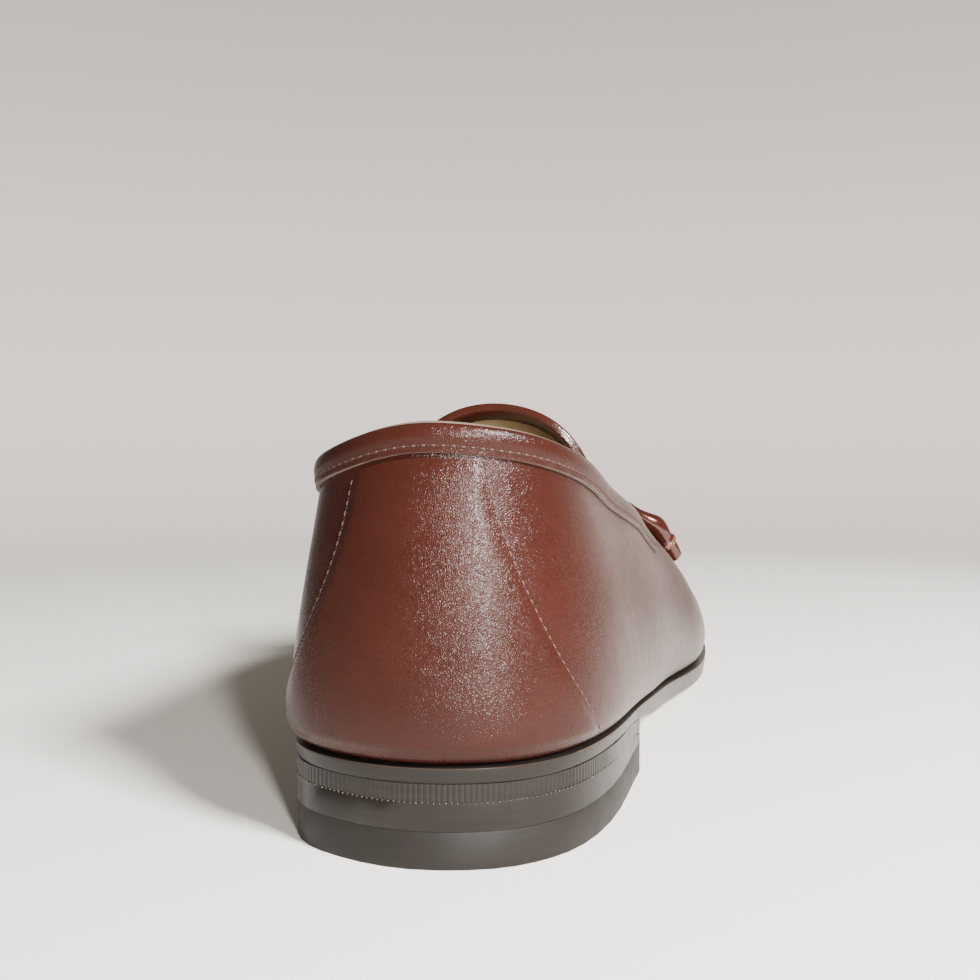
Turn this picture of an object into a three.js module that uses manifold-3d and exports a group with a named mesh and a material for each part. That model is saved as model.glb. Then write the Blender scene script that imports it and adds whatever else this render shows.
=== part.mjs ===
// A slip-on bit loafer for the right foot, standing on its heel and tread, in millimetres.
// +X is the outer side of the foot, +Y points to the toe and +Z is up.
// Lengths along the shoe are measured from the back of the sole, and the last line moves the whole shoe
// so that the middle of the heel's bottom face is at the origin.
import * as THREE from 'three';
import { mergeVertices } from 'three/addons/utils/BufferGeometryUtils.js';
import Module from 'manifold-3d';

const wasm = await Module();
wasm.setup();

// Sole and heel
const soleLength = 296;
const ballWidth = 98;
const heelWidth = 68.6;
const heelLength = 65;
const heelHeight = 18.4;
const topPieceThickness = 6.8;
const randThickness = 3.3;
const seatThickness = 2.9;
const treadThickness = 4.8;
const breastRun = 12;
const edgeTaper = 0.5;
const toeSpring = 7;
const ribPitch = 1.06;
const ribDepth = 0.28;
const ribBase = 14;

// Upper
const backHeight = 59.8;
const vampHeight = 59;
const wall = 1.9;
const heelLedge = 1.1;
const ballLedge = 2.4;
const heelTuck = 2.7;
const ballTuck = 2.8;
const tuckHeight = 11;
const spreadNear = 4;
const spreadFar = 12;

// Trim
const gap = 0.3;
const counterThickness = 0.6;
const bandThickness = 1.3;
const bandGap = 0.44;
const bandWidth = 4.4;
const bandTurnIn = 6;
const seamWidth = 3.4;
const seamHeight = 1.7;
const seamBase = 0.25;
const strapWidth = 18;
const strapThickness = 1.3;
const strapLift = 0.42;
const tongueThickness = 1.6;
const tongueLength = 62;
const tongueRise = 27;
const tongueRadius = 30;
const tongueLap = 12;
const tongueDip = 1.3;
const tongueOuterTurn = 64;
const tongueInnerTurn = 40;
const bindingThickness = 0.7;
const bindingWidth = 4.2;
const insoleThickness = 2.6;
const insoleMargin = 0.5;

// Bit
const barDiameter = 3;
const archDiameter = 5;
const beadDiameter = 5.6;
const beadLength = 2.6;
const archLength = 19;
const archDepth = 1.0;
const archBack = 0.15;
const linkDiameter = 9.5;
const eyeDiameter = 5.4;
const eyeWire = 1.7;
const keeperWidth = 6;
const keeperThickness = 1.2;

const V = (x, y, z) => new THREE.Vector3(x, y, z);
const mix = (a, b, t) => a + (b - a) * t;
const ease = (a, b, x) => {
  const t = Math.min(1, Math.max(0, (x - a) / (b - a)));
  return t * t * (3 - 2 * t);
};
const range = (n) => Array.from({ length: n + 1 }, (_, i) => i / n);

// Cubic spline through values at 0, 1, 2 and so on, closed into a ring or with free ends.
function spline(values, ring = false) {
  const n = values.length;
  const rows = values.map((value, i) => {
    const row = new Array(n + 1).fill(0);
    if (!ring && (i === 0 || i === n - 1)) {
      row[i] = 1;
      return row;
    }
    const before = (i + n - 1) % n;
    const after = (i + 1) % n;
    row[before] += 1;
    row[i] += 4;
    row[after] += 1;
    row[n] = 6 * (values[before] - 2 * value + values[after]);
    return row;
  });
  for (let k = 0; k < n; k++) {
    for (let i = 0; i < n; i++) {
      if (i === k || rows[i][k] === 0) continue;
      const factor = rows[i][k] / rows[k][k];
      for (let j = k; j <= n; j++) rows[i][j] -= factor * rows[k][j];
    }
  }
  const bend = rows.map((row, i) => row[n] / row[i]);
  return (at) => {
    const t = ring ? ((at % n) + n) % n : at;
    const i = Math.min(Math.max(0, Math.floor(t)), ring ? n - 1 : n - 2);
    const j = (i + 1) % n;
    const b = t - i;
    const a = 1 - b;
    return a * values[i] + b * values[j] + ((a ** 3 - a) * bend[i] + (b ** 3 - b) * bend[j]) / 6;
  };
}

// One row for each rib of the upper, from the back seam to the toe. A rib stands on the sole's edge at
// share "at" of the length, and ends at the collar, or past the throat on the ridge of the instep.
// Widths are shares of heelWidth that pass over into shares of ballWidth, measured outwards on each side,
// and rises are shares of backHeight that pass over into shares of vampHeight, above the sole's top face.
// "lean" is how far the rib's top lies over, and "swell" how far its foot leans out, in degrees.
const columns = [
  'at', 'outer', 'inner', 'topAt', 'topOuter', 'topInner', 'riseOuter', 'riseInner',
  'lean', 'swellOuter', 'swellInner',
];
const sections = [
  [0.000, 0.000, 0.000, 0.0186, 0.000, 0.000, 1.000, 1.000, 8, -4, -4],
  [0.009, 0.204, 0.186, 0.0243, 0.153, 0.146, 0.992, 0.962, 8, -4, -4],
  [0.029, 0.335, 0.332, 0.0405, 0.265, 0.256, 0.970, 0.915, 8, -3, -3],
  [0.063, 0.436, 0.407, 0.0693, 0.347, 0.328, 0.930, 0.872, 8, -3, -3],
  [0.125, 0.505, 0.456, 0.1250, 0.398, 0.370, 0.875, 0.828, 9, -2, -3],
  [0.203, 0.535, 0.466, 0.2030, 0.412, 0.400, 0.816, 0.815, 11, 4, 6],
  [0.284, 0.515, 0.425, 0.2840, 0.395, 0.385, 0.780, 0.815, 14, 10, 16],
  [0.372, 0.455, 0.345, 0.3650, 0.346, 0.325, 0.755, 0.835, 20, 12, 24],
  [0.456, 0.466, 0.340, 0.4390, 0.328, 0.285, 0.715, 0.855, 24, 9, 18],
  [0.514, 0.496, 0.378, 0.4830, 0.352, 0.282, 0.650, 0.860, 36, 6, 10],
  [0.557, 0.512, 0.412, 0.5080, 0.230, 0.235, 0.845, 0.925, 62, 5, 6],
  [0.601, 0.519, 0.444, 0.5200, -0.060, 0.060, 1.000, 1.000, 80, 4, 5],
  [0.649, 0.517, 0.472, 0.5780, -0.060, 0.060, 0.880, 0.880, 84, 4, 4],
  [0.699, 0.505, 0.489, 0.6300, -0.060, 0.060, 0.775, 0.775, 84, 4, 4],
  [0.750, 0.488, 0.490, 0.6790, -0.060, 0.060, 0.682, 0.682, 84, 4, 4],
  [0.801, 0.455, 0.474, 0.7220, -0.058, 0.058, 0.604, 0.604, 84, 4, 4],
  [0.851, 0.402, 0.438, 0.7590, -0.056, 0.056, 0.542, 0.542, 84, 4, 4],
  [0.899, 0.330, 0.382, 0.7900, -0.054, 0.054, 0.494, 0.494, 84, 4, 4],
  [0.940, 0.246, 0.310, 0.8130, -0.052, 0.052, 0.459, 0.459, 84, 4, 4],
  [0.974, 0.145, 0.218, 0.8290, -0.050, 0.050, 0.435, 0.435, 84, 4, 4],
  [0.994, 0.045, 0.125, 0.8380, -0.048, 0.048, 0.421, 0.421, 84, 4, 4],
  [1.000, -0.040, 0.040, 0.8410, -0.046, 0.046, 0.4163, 0.4163, 84, 4, 4],
].map((row) => Object.fromEntries(row.map((value, i) => [columns[i], value])));
const toeRow = sections.length - 1;
const throatRow = sections.findIndex((s) => s.lean >= 80);

const tuckAt = (at) => mix(heelTuck, ballTuck, ease(0.2, 0.5, at));
const ledgeAt = (at) => mix(heelLedge, ballLedge, ease(0.2, 0.5, at));
const widthAt = (at) => mix(heelWidth, ballWidth, ease(0.2, 0.45, at));
const riseAt = (at) => mix(backHeight, vampHeight, ease(0.3, 0.5, at));

// Height of the sole's top face at a length from the back.
const seatEnd = 0.06;
const treadStart = 0.60;
const treadEnd = 0.72;
const springCurve = 1.9;
function soleTop(y) {
  const at = Math.min(1, Math.max(0, y / soleLength));
  if (at >= treadEnd) return treadThickness + toeSpring * ((at - treadEnd) / (1 - treadEnd)) ** springCurve;
  return mix(heelHeight, treadThickness, ease(seatEnd, treadStart, at));
}
const soleThickness = (y) => mix(seatThickness, treadThickness, ease(heelLength, heelLength + breastRun, y));
const soleBottom = (y) => Math.max(0, soleTop(y) - soleThickness(y));

// The ring runs from the back seam along the outer side to the toe and back along the inner side.
const ringEnd = 2 * toeRow;
const rowAt = (q) => Math.min(q, ringEnd - q);
const wrap = (q) => ((q % ringEnd) + ringEnd) % ringEnd;
const isOuter = (q) => q <= toeRow;
const ringOf = (side, r) => (side > 0 ? r : wrap(ringEnd - r));
function ringSpline(value) {
  const values = [];
  for (let k = 0; k < ringEnd; k++) values.push(value(sections[rowAt(k)], k <= toeRow ? 1 : -1));
  return spline(values, true);
}
const edgeX = ringSpline((s, side) => side * (side > 0 ? s.outer : s.inner) * widthAt(s.at));
const edgeY = ringSpline((s) => s.at * soleLength);
const swell = ringSpline((s, side) => (side > 0 ? s.swellOuter : s.swellInner));

// The collar's curve has a corner at the throat, so it is a spline of its own beside the ridge's.
function collarSpline(value) {
  const values = [];
  for (let k = -throatRow; k <= throatRow; k++) values.push(value(sections[Math.abs(k)], k < 0 ? -1 : 1));
  const curve = spline(values);
  return (k) => curve(k + throatRow);
}
function ridgeSpline(value) {
  const curve = spline(sections.slice(throatRow).map(value));
  return (r) => curve(r - throatRow);
}
const topXOf = (s, side) => side * (side > 0 ? s.topOuter : s.topInner) * widthAt(s.at);
const topYOf = (s) => s.topAt * soleLength;
const topZOf = (s, side) => soleTop(topYOf(s)) + (side > 0 ? s.riseOuter : s.riseInner) * riseAt(s.topAt);
const collar = [topXOf, topYOf, topZOf, (s) => s.lean].map(collarSpline);
const ridge = [(s) => topXOf(s, 1), topYOf, (s) => topZOf(s, 1)].map(ridgeSpline);

// Outward direction of the sole's outline, in plan.
function outward(q) {
  const step = 0.01;
  const dx = edgeX(q + step) - edgeX(q - step);
  const dy = edgeY(q + step) - edgeY(q - step);
  return V(dy, -dx, 0).normalize();
}
function edge(q, inset = 0) {
  return V(edgeX(q), edgeY(q), 0).addScaledVector(outward(q), -inset);
}

function ridgePoint(r) {
  return V(ridge[0](r), ridge[1](r), ridge[2](r));
}
function ridgeNormal(r) {
  const step = 0.05;
  const along = ridgePoint(Math.min(toeRow, r + step)).sub(ridgePoint(Math.max(throatRow, r - step)));
  return V(1, 0, 0).cross(along).normalize();
}

// Direction in which a rib leaves the collar, as far over as its row's lean, or leaves the ridge across it.
function collarDown(k, out, away, across) {
  const lean = THREE.MathUtils.degToRad(collar[3](k));
  const plan = out.clone().lerp(away, ease(spreadNear, spreadFar, across)).normalize();
  return plan.multiplyScalar(Math.sin(lean)).add(V(0, 0, -Math.cos(lean)));
}
function ridgeDown(r, away) {
  const normal = ridgeNormal(r);
  return away.clone().addScaledVector(normal, -away.dot(normal)).normalize();
}

// Point of the upper's outer face on rib q, at share v of the way from the sole to the rib's top.
// The last row before the throat passes from the collar's direction to the ridge's.
const footReach = 0.4;
const flatReach = 0.53;
const steepReach = 0.34;
function rib(q, v) {
  const r = rowAt(q);
  const side = isOuter(q) ? 1 : -1;
  const out = outward(q);
  const foot = edge(q, ledgeAt(edgeY(q) / soleLength));
  foot.z = soleTop(foot.y) + gap;
  const tuck = tuckAt(foot.y / soleLength);
  const base = foot.clone().addScaledVector(out, tuck);
  const k = side * r;
  const top = r >= throatRow ? ridgePoint(r) : V(collar[0](k), collar[1](k), collar[2](k));
  const away = V(base.x - top.x, base.y - top.y, 0);
  const across = away.length();
  away.normalize();
  const height = top.z - base.z;
  const down = r >= throatRow ? ridgeDown(r, away) : collarDown(k, out, away, across);
  if (r < throatRow) down.lerp(ridgeDown(throatRow, away), ease(throatRow - 1, throatRow, r)).normalize();
  const flat = Math.hypot(down.x, down.y);
  const angle = THREE.MathUtils.degToRad(swell(q));
  const lift = V(0, 0, Math.cos(angle)).addScaledVector(out, Math.sin(angle));
  const handle = base.clone().addScaledVector(lift, height * footReach);
  const reach = mix(steepReach * height, flatReach * across, flat);
  const shoulder = top.clone().addScaledVector(down, reach);
  const w = 1 - v;
  const point = V(0, 0, 0)
    .addScaledVector(base, w ** 3)
    .addScaledVector(handle, 3 * w * w * v)
    .addScaledVector(shoulder, 3 * w * v * v)
    .addScaledVector(top, v ** 3);
  const low = Math.max(0, 1 - (point.z - foot.z) / tuckHeight);
  return point.addScaledVector(out, -tuck * (1 - Math.sqrt(1 - low * low)));
}

// Outward normal of that face.
function normalAt(q, v) {
  const r = rowAt(q);
  if (r >= throatRow && v > 0.9999) return ridgeNormal(r);
  const dq = 0.02;
  const dv = 0.004;
  const low = Math.max(0, v - dv);
  const high = Math.min(1, v + dv);
  const around = rib(wrap(q + dq), v).sub(rib(wrap(q - dq), v));
  const along = rib(q, high).sub(rib(q, low));
  return around.cross(along).normalize();
}
const skin = (q, v, offset) => rib(q, v).addScaledVector(normalAt(q, v), offset);

// Share v of the rib that lies a given length below its top.
function below(q, length) {
  let done = 0;
  let last = rib(q, 1);
  const steps = 60;
  for (let i = 1; i <= steps; i++) {
    const next = rib(q, 1 - i / steps);
    const piece = next.distanceTo(last);
    if (done + piece >= length) return 1 - (i - 1 + (length - done) / piece) / steps;
    done += piece;
    last = next;
  }
  return 0;
}

// Closed solid between a front and a back grid of points, with its borders walled.
// A ring closes on its first column, and the top border stays open where two ribs meet on the ridge.
function slab(front, back, { ring = false, meets = () => false } = {}) {
  const points = [];
  const index = new Map();
  const faces = [];
  const id = (p) => {
    const key = [p.x, p.y, p.z].map((c) => Math.round(c * 2000)).join();
    if (!index.has(key)) {
      index.set(key, points.length);
      points.push(p);
    }
    return index.get(key);
  };
  const face = (a, b, c) => {
    if (a !== b && b !== c && c !== a) faces.push([a, b, c]);
  };
  const quad = (a, b, c, d) => {
    const [i, j, k, l] = [a, b, c, d].map(id);
    face(i, j, k);
    face(i, k, l);
  };
  const m = front.length;
  const n = front[0].length;
  for (let i = 0; i < (ring ? m : m - 1); i++) {
    const e = (i + 1) % m;
    for (let j = 0; j < n - 1; j++) {
      quad(front[i][j], front[e][j], front[e][j + 1], front[i][j + 1]);
      quad(back[i][j + 1], back[e][j + 1], back[e][j], back[i][j]);
    }
    quad(back[i][0], back[e][0], front[e][0], front[i][0]);
    if (!meets(i)) quad(front[i][n - 1], front[e][n - 1], back[e][n - 1], back[i][n - 1]);
  }
  if (!ring) {
    for (let j = 0; j < n - 1; j++) {
      quad(front[0][j + 1], back[0][j + 1], back[0][j], front[0][j]);
      quad(front[m - 1][j], back[m - 1][j], back[m - 1][j + 1], front[m - 1][j + 1]);
    }
  }
  const volume = faces.reduce((sum, [a, b, c]) => {
    return sum + points[a].dot(points[b].clone().cross(points[c]));
  }, 0);
  const turned = volume < 0 ? faces.map(([a, b, c]) => [a, c, b]) : faces;
  const geometry = new THREE.BufferGeometry().setFromPoints(points);
  geometry.setIndex(turned.flat());
  return geometry;
}

const colours = {
  calf: { color: 0x7a3524, roughness: 0.38, metalness: 0 },
  edge: { color: 0x55504c, roughness: 0.42, metalness: 0 },
  rubber: { color: 0x403c3a, roughness: 0.7, metalness: 0 },
  lining: { color: 0x7a7154, roughness: 0.8, metalness: 0 },
  bit: { color: 0x5e2a20, roughness: 0.18, metalness: 0.35 },
};
const shoe = new THREE.Group();
function add(name, geometry, colour) {
  geometry.computeVertexNormals();
  const mesh = new THREE.Mesh(geometry, new THREE.MeshStandardMaterial(colours[colour]));
  mesh.name = name;
  shoe.add(mesh);
}

// A plate across the shoe between the outer and the inner side's edge.
function plate(rows, top, bottom, inset, bottomInset = inset, notch = () => 0) {
  const shares = [0, 0.5, 1];
  const layer = (height, margin) => rows.map((r, i) => {
    const a = edge(ringOf(1, r), margin + notch(i));
    const b = edge(ringOf(-1, r), margin + notch(i));
    return shares.map((share) => {
      const p = a.clone().lerp(b, share);
      p.z = height(p.y);
      return p;
    });
  });
  return slab(layer(top, inset), layer(bottom, bottomInset));
}

// Row at which the sole's edge reaches a length from the back.
function rowOf(y) {
  let low = 0;
  let high = toeRow;
  for (let i = 0; i < 40; i++) {
    const middle = (low + high) / 2;
    if (edgeY(middle) < y) low = middle;
    else high = middle;
  }
  return low;
}

// Rows spread evenly between the places where the sole bends.
function soleRows() {
  const breast = rowOf(heelLength);
  const rows = [
    ...range(10).map((t) => t * breast),
    ...range(24).slice(1).map((t) => mix(breast, toeRow, t)),
  ];
  for (const at of [treadStart, treadEnd]) {
    const r = rowOf(at * soleLength);
    const near = rows.reduce((best, row, i) => (Math.abs(row - r) < Math.abs(rows[best] - r) ? i : best), 0);
    rows[near] = r;
  }
  return rows;
}

const breastRow = rowOf(heelLength);
const heelRows = range(14).map((t) => t * breastRow);
const randTop = (y) => soleBottom(y) - gap;
const randBottom = (y) => soleBottom(y) - randThickness;
const liftTop = (y) => randBottom(y) - gap;
add('outsole', plate(soleRows(), soleTop, soleBottom, 0, edgeTaper), 'edge');
add('heel_lift', plate(heelRows, liftTop, () => topPieceThickness, edgeTaper), 'edge');
add('heel_top_piece', plate(heelRows, () => topPieceThickness, () => 0, edgeTaper), 'rubber');

// The ribs of the rand are even along its edge.
function ribRows() {
  const lengths = [0];
  const fine = range(400).map((t) => t * breastRow);
  for (let i = 1; i < fine.length; i++) {
    lengths.push(lengths[i - 1] + edge(fine[i]).distanceTo(edge(fine[i - 1])));
  }
  const total = lengths[lengths.length - 1];
  const count = 2 * Math.round(total / ribPitch);
  return range(count).map((t) => {
    const i = lengths.findIndex((length) => length >= t * total - 1e-9);
    if (i <= 0) return 0;
    return mix(fine[i - 1], fine[i], (t * total - lengths[i - 1]) / (lengths[i] - lengths[i - 1]));
  });
}
function randPlate() {
  const rows = ribRows();
  const layer = (height) => rows.map((r, i) => {
    const inset = edgeTaper + (i % 2 ? ribDepth : 0);
    const sides = [1, -1].map((side) => edge(ringOf(side, r), inset));
    const middle = V(0, mix(ribBase, heelLength, edgeY(r) / heelLength), 0);
    return [sides[0], middle, sides[1]].map((p) => p.setZ(height(p.y)));
  });
  return slab(layer(randTop), layer(randBottom));
}
add('heel_rand', randPlate(), 'edge');

// Upper
const sideRow = 4;
const outerColumns = [
  ...range(8).map((t) => mix(0, sideRow, t)),
  ...range(12).slice(1).map((t) => mix(sideRow, throatRow, t)),
  ...range(14).slice(1).map((t) => mix(throatRow, toeRow, t)),
];
const ringColumns = [...outerColumns, ...outerColumns.slice(1, -1).reverse().map((r) => ringEnd - r)];
const levels = [0, 0.022, 0.055, 0.1, 0.17, 0.26, 0.36, 0.47, 0.58, 0.69, 0.8, 0.9, 1];
// The inner face takes its direction from a little above the foot, where the outer face turns in sharply.
const turnLevel = 0.055;
function upper() {
  const outside = ringColumns.map((q) => levels.map((v) => rib(q, v)));
  const inside = ringColumns.map((q) => levels.map((v) => {
    return rib(q, v).addScaledVector(normalAt(q, Math.max(v, turnLevel)), -wall);
  }));
  const meets = (i) => {
    const a = rowAt(ringColumns[i]);
    const b = rowAt(ringColumns[(i + 1) % ringColumns.length]);
    return a >= throatRow && b >= throatRow;
  };
  return slab(outside, inside, { ring: true, meets });
}
add('upper', upper(), 'calf');

// Counter over the back of the heel, wide at the sole and narrow under the collar band.
const counterFoot = 3.4;
const counterTop = 1.15;
const counterOuterCurve = 1.7;
const counterInnerCurve = 2;
const counterLevels = [0.03, 0.055, 0.09, 0.14, 0.2, 0.29, 0.4, 0.52, 0.65, 0.8, 0.985];
function counter() {
  const across = range(16).map((t) => 2 * t - 1);
  const grid = (offset) => across.map((a) => counterLevels.map((h) => {
    const curve = a > 0 ? counterOuterCurve : counterInnerCurve;
    const reach = counterTop + (counterFoot - counterTop) * (1 - h) ** curve;
    const q = wrap(a * reach);
    return skin(q, h * below(q, bandWidth + gap), offset);
  }));
  return slab(grid(gap + counterThickness), grid(gap));
}
add('heel_counter', counter(), 'calf');

// Band round the collar, turned in over the upper's edge. It bends over the rim at the crown turns.
const bandEnd = 8.7;
const crownTurns = [30, 90, 150].map(THREE.MathUtils.degToRad);
const rimBelow = 0.985;
function collarBand() {
  const stations = range(34).map((t) => mix(-bandEnd, bandEnd, t));
  const layer = (thick) => stations.map((k) => {
    const q = wrap(k);
    const normal = normalAt(q, 1);
    const up = rib(q, 1).sub(rib(q, rimBelow)).normalize();
    const half = wall / 2 + bandGap + thick;
    const centre = rib(q, 1).addScaledVector(normal, -wall / 2);
    return [
      ...[1, 0.5, 0].map((t) => skin(q, below(q, bandWidth * t), bandGap + thick)),
      ...crownTurns.map((a) => centre.clone()
        .addScaledVector(normal, half * Math.cos(a))
        .addScaledVector(up, (bandGap + thick) * Math.sin(a))),
      ...[0, 1].map((t) => skin(q, below(q, bandTurnIn * t), -wall - bandGap - thick)),
    ];
  });
  return slab(layer(bandThickness), layer(0));
}
add('collar_band', collarBand(), 'calf');

// Raised seam round the apron.
const seamStart = 12.4;
const seamSideLevel = 0.6;
const seamToeLevel = 0.53;
const seamLevel = (r) => mix(seamSideLevel, seamToeLevel, ease(seamStart, toeRow, r));
const seamProfile = [[-0.5, 0], [-0.36, 0.75], [0, 1], [0.36, 0.75], [0.5, 0]];
function apronSeam() {
  const stations = range(38).map((t) => mix(seamStart, ringEnd - seamStart, t));
  const layer = (raised) => stations.map((q) => seamProfile.map(([across, high]) => {
    const v = seamLevel(rowAt(q));
    const speed = rib(q, v + 0.01).distanceTo(rib(q, v - 0.01)) / 0.02;
    return skin(q, v + (across * seamWidth) / speed, gap + (raised ? seamBase + high * seamHeight : 0));
  }));
  return slab(layer(true), layer(false));
}
add('apron_seam', apronSeam(), 'calf');

// Strap over the instep. Its front edge lies on the vamp, and it runs straight back from there.
const strapFrontRow = 13;
const strapEndRow = 11.8;
const strapLevel = 0.625;
const strapSweep = 1.5;
function instepFrame(t) {
  const r = mix(strapFrontRow, strapEndRow, Math.abs(t) ** strapSweep);
  const v = mix(1, strapLevel, Math.abs(t));
  const q = t >= 0 ? r : ringEnd - r;
  const normal = Math.abs(t) < 1e-6 ? ridgeNormal(r) : normalAt(q, v);
  const back = normal.clone().cross(V(1, 0, 0)).normalize();
  if (back.y > 0) back.negate();
  return { q, v, point: rib(q, v), normal, back };
}
function instep(t, backwards, offset) {
  const { point, normal, back } = instepFrame(t);
  return point.addScaledVector(back, backwards).addScaledVector(normal, offset);
}
function strap() {
  const across = range(24).map((t) => 2 * t - 1);
  const grid = (offset) => across.map((t) => range(4).map((s) => instep(t, s * strapWidth, offset)));
  return slab(grid(gap + strapThickness + strapLift), grid(gap + strapLift));
}
add('strap', strap(), 'calf');

// Insole, inside the upper's foot.
const insoleRows = range(22).map((t) => t * toeRow);
const insoleInset = wall + insoleMargin;
add('insole', plate(
  insoleRows,
  (y) => soleTop(y) + gap + insoleThickness,
  (y) => soleTop(y) + gap,
  insoleInset,
  insoleInset,
  (i) => ledgeAt(edgeY(insoleRows[i]) / soleLength),
), 'lining');

// Rods and rings of the bit.
function solid(geometry) {
  const flat = geometry.clone();
  flat.deleteAttribute('normal');
  flat.deleteAttribute('uv');
  const merged = mergeVertices(flat, 1e-4);
  const triVerts = new Uint32Array(merged.index.array);
  const vertProperties = merged.attributes.position.array;
  return new wasm.Manifold(new wasm.Mesh({ numProp: 3, vertProperties, triVerts }));
}
function fuse(...geometries) {
  const mesh = geometries.map(solid).reduce((a, b) => a.add(b)).getMesh();
  const geometry = new THREE.BufferGeometry();
  geometry.setAttribute('position', new THREE.BufferAttribute(mesh.vertProperties, 3));
  geometry.setIndex(new THREE.BufferAttribute(mesh.triVerts, 1));
  return geometry;
}

// A round rod along points, with a radius for each, closed by flat ends.
function rod(points, radii, sides = 8) {
  let side = V(0, 0, 0);
  const rings = points.map((p, i) => {
    const next = points[Math.min(i + 1, points.length - 1)];
    const along = next.clone().sub(points[Math.max(i - 1, 0)]).normalize();
    if (i === 0) side = Math.abs(along.z) < 0.9 ? V(0, 0, 1) : V(1, 0, 0);
    side = side.clone().addScaledVector(along, -side.dot(along)).normalize();
    const other = along.clone().cross(side);
    return range(sides).slice(0, -1).map((t) => p.clone()
      .addScaledVector(side, radii[i] * Math.cos(2 * Math.PI * t))
      .addScaledVector(other, radii[i] * Math.sin(2 * Math.PI * t)));
  });
  const first = rings[0].map(() => points[0].clone());
  const last = rings[0].map(() => points[points.length - 1].clone());
  const vertices = [first, ...rings, last];
  const positions = [];
  for (let i = 0; i + 1 < vertices.length; i++) {
    for (let j = 0; j < sides; j++) {
      const k = (j + 1) % sides;
      const [a, b, c, d] = [vertices[i][j], vertices[i][k], vertices[i + 1][k], vertices[i + 1][j]];
      if (a.distanceTo(b) > 1e-6) positions.push(a, b, c);
      if (c.distanceTo(d) > 1e-6) positions.push(a, c, d);
    }
  }
  return new THREE.BufferGeometry().setFromPoints(positions);
}
function hoop(centre, diameter, wire, axis) {
  const geometry = new THREE.TorusGeometry(diameter / 2, wire / 2, 6, 16);
  geometry.applyQuaternion(new THREE.Quaternion().setFromUnitVectors(V(0, 0, 1), axis));
  return geometry.translate(centre.x, centre.y, centre.z);
}

// The bar lies along the middle of the strap. Past the strap's end it stands off the wall as an arch,
// with a bead on it, and its flared foot comes back to the wall.
const strapTop = gap + strapLift + strapThickness;
const barHeight = strapTop + gap + eyeDiameter / 2 + eyeWire / 2;
const barLow = strapTop + gap + barDiameter / 2;
const barStart = 0.36;
const barReach = 0.93;
const barSettle = 0.4;
const archLevel = 0.3;
const swellStart = 0.2;
const swellEnd = 0.6;
const beadProfile = [[-0.5, 0.74], [-0.34, 0.95], [0, 1.1], [0.34, 0.95], [0.5, 0.74]];
const linkCentre = instep(0, strapWidth / 2, barHeight);
const eyeOffset = (linkDiameter + eyeDiameter) / 2 - eyeWire - gap;
function archPoints(side) {
  const t = side * barReach;
  const start = instep(t, strapWidth / 2, barLow);
  const { q, v } = instepFrame(t);
  const near = wrap(q - side * archBack);
  const speed = rib(near, v).distanceTo(rib(near, archLevel)) / (v - archLevel);
  const foot = skin(near, v - archLength / speed, gap + archDiameter / 2);
  const out = V(side, 0, 0);
  return [...range(9).slice(1, -2), 1].map((share) => {
    const turn = Math.PI * share;
    const along = start.clone().lerp(foot, (1 - Math.cos(turn)) / 2);
    return along.addScaledVector(out, archDepth * Math.sin(turn));
  });
}
function bar(side) {
  const flat = range(9).map((t) => {
    const reach = mix(barStart, barReach, t);
    return instep(side * reach, strapWidth / 2, mix(barHeight, barLow, ease(0, barSettle, t)));
  });
  const arch = archPoints(side);
  const eyeCentre = linkCentre.clone().add(V(side * eyeOffset, 0, 0));
  const start = eyeCentre.clone().add(V((side * eyeDiameter) / 2, 0, 0));
  const line = [start, ...flat, ...arch];
  const radii = line.map((_, i) => {
    const share = ease(swellStart, swellEnd, (i - flat.length) / arch.length);
    return mix(barDiameter, archDiameter, share) / 2;
  });
  const bead = arch[5];
  const along = arch[6].clone().sub(arch[4]).normalize();
  const beadRod = rod(
    beadProfile.map(([step]) => bead.clone().addScaledVector(along, step * beadLength)),
    beadProfile.map(([, share]) => (share * beadDiameter) / 2),
  );
  return fuse(rod(line, radii), hoop(eyeCentre, eyeDiameter, eyeWire, V(0, 1, 0)), beadRod);
}
add('bit_bar_outer', bar(1), 'bit');
add('bit_bar_inner', bar(-1), 'bit');

// A keeper holds each bar down on the strap.
const keeperPlace = 0.66;
const keeperFoot = 3;
const keeperGap = 0.4;
const keeperTurns = [160, 125, 90, 55, 20].map(THREE.MathUtils.degToRad);
function keeper(side) {
  const lift = strapTop + gap;
  const axis = barLow;
  const half = keeperWidth / 2;
  const stepT = 0.02;
  const place = instep(side * keeperPlace, 0, 0);
  const speed = place.distanceTo(instep(side * (keeperPlace + stepT), 0, 0)) / stepT;
  const layer = (thick) => [-half, 0, half].map((along) => {
    const t = side * (keeperPlace + along / speed);
    const round = barDiameter / 2 + keeperGap + thick;
    const reach = round + keeperFoot;
    const at = (across, height) => instep(t, strapWidth / 2 + across, height);
    return [
      at(-reach, lift + thick),
      at(-round, lift + thick),
      ...keeperTurns.map((turn) => {
        return at(round * Math.cos(turn), Math.max(lift + thick, axis + round * Math.sin(turn)));
      }),
      at(round, lift + thick),
      at(reach, lift + thick),
    ];
  });
  return slab(layer(keeperThickness), layer(0));
}
add('keeper_outer', keeper(1), 'calf');
add('keeper_inner', keeper(-1), 'calf');
add('bit_link', hoop(linkCentre, linkDiameter, eyeWire, instepFrame(0).normal), 'bit');

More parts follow.
